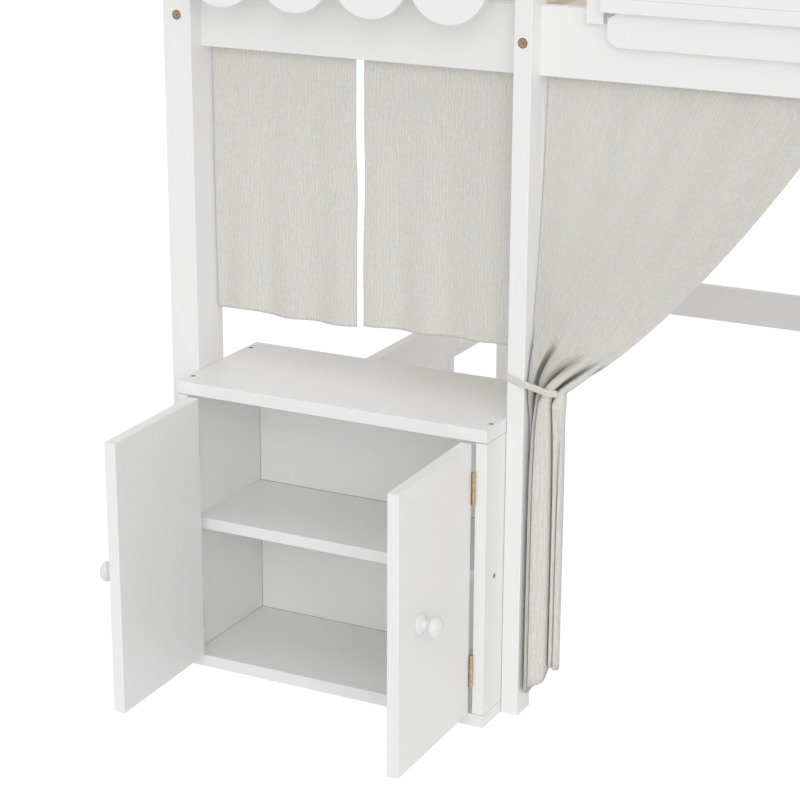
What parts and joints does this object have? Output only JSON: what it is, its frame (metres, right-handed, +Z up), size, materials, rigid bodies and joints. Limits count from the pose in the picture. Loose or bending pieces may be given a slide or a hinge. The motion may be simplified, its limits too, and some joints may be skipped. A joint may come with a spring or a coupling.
{
  "type": "loft bed",
  "caption": "Low white loft bed with a curtained play space, a scalloped awning, a window with a flower box, a small two-door cupboard and an end ladder.",
  "frame": {"origin": "middle of the whole footprint at floor level, with the cupboard doors standing open", "axes": "+X along the bed from the ladder end, +Y from the play front to the back, +Z up"},
  "size_m": [2.0704, 1.7892, 1.5],
  "materials": {
    "white_paint": "satin white paint on wood",
    "white_knob": "semi-gloss white paint",
    "pine": "bare planed pine",
    "brass": "dull antique brass",
    "zinc_steel": "zinc plated",
    "brown_plug": "matt brown cap",
    "linen": "ribbed cotton and linen weave",
    "white_tape": "woven hook tape"
  },
  "bodies": {
    "bed": {"front_left_post": "white_paint", "front_right_post": "white_paint", "back_left_post": "white_paint", "back_right_post": "white_paint", "left_door_post": "white_paint", "right_door_post": "white_paint", "front_side_rail": "white_paint", "back_side_rail": "white_paint", "left_end_rail": "white_paint", "right_end_rail": "white_paint", "back_low_rail": "white_paint", "left_low_rail": "white_paint", "right_low_rail": "white_paint", "front_ledger": "white_paint", "back_ledger": "white_paint", "centre_beam": "pine", "slats": "pine", "front_guards": "white_paint", "back_guards": "white_paint", "right_end_guards": "white_paint", "left_end_guards": "white_paint", "window_stiles": "white_paint", "window_top_rail": "white_paint", "window_cross": "white_paint", "window_sill": "white_paint", "window_apron": "white_paint", "planter_front": "white_paint", "planter_walls": "white_paint", "awning_valance": "white_paint", "awning_roof": "white_paint", "awning_brackets": "white_paint", "ladder_front_stile": "white_paint", "ladder_back_stile": "white_paint", "ladder_rungs": "white_paint", "cupboard_top": "white_paint", "cupboard_base": "white_paint", "cupboard_left_side": "white_paint", "cupboard_right_side": "white_paint", "cupboard_back": "white_paint", "cupboard_shelf": "white_paint", "frame_hinge_leaves": "brass", "hinge_pins": "brass", "rail_bolts": "zinc_steel", "bolt_nuts": "zinc_steel", "cap_plugs": "brown_plug", "cupboard_dowels": "brown_plug", "frame_dowels": "pine", "curtain_tapes": "white_tape", "curtain_battens": "white_paint", "left_cafe_curtain": "linen", "right_cafe_curtain": "linen", "left_long_curtain": "linen", "right_long_curtain": "linen", "curtain_ties": "linen"},
    "left_cupboard_door": {"left_door": "white_paint", "left_knob": "white_knob", "left_hinge_leaves": "brass"},
    "right_cupboard_door": {"right_door": "white_paint", "right_knob": "white_knob", "right_hinge_leaves": "brass"}
  },
  "joints": [
    {"name": "left_door_hinge", "type": "hinge", "parent": "bed", "child": "left_cupboard_door", "pos_m": [-0.91475, -0.64506, 0.24], "axis": [0, 0, 1], "range_deg": [-87, 88]},
    {"name": "right_door_hinge", "type": "hinge", "parent": "bed", "child": "right_cupboard_door", "pos_m": [-0.41455, -0.64506, 0.24], "axis": [0, 0, 1], "range_deg": [-91.5, 83.5]}
  ]
}
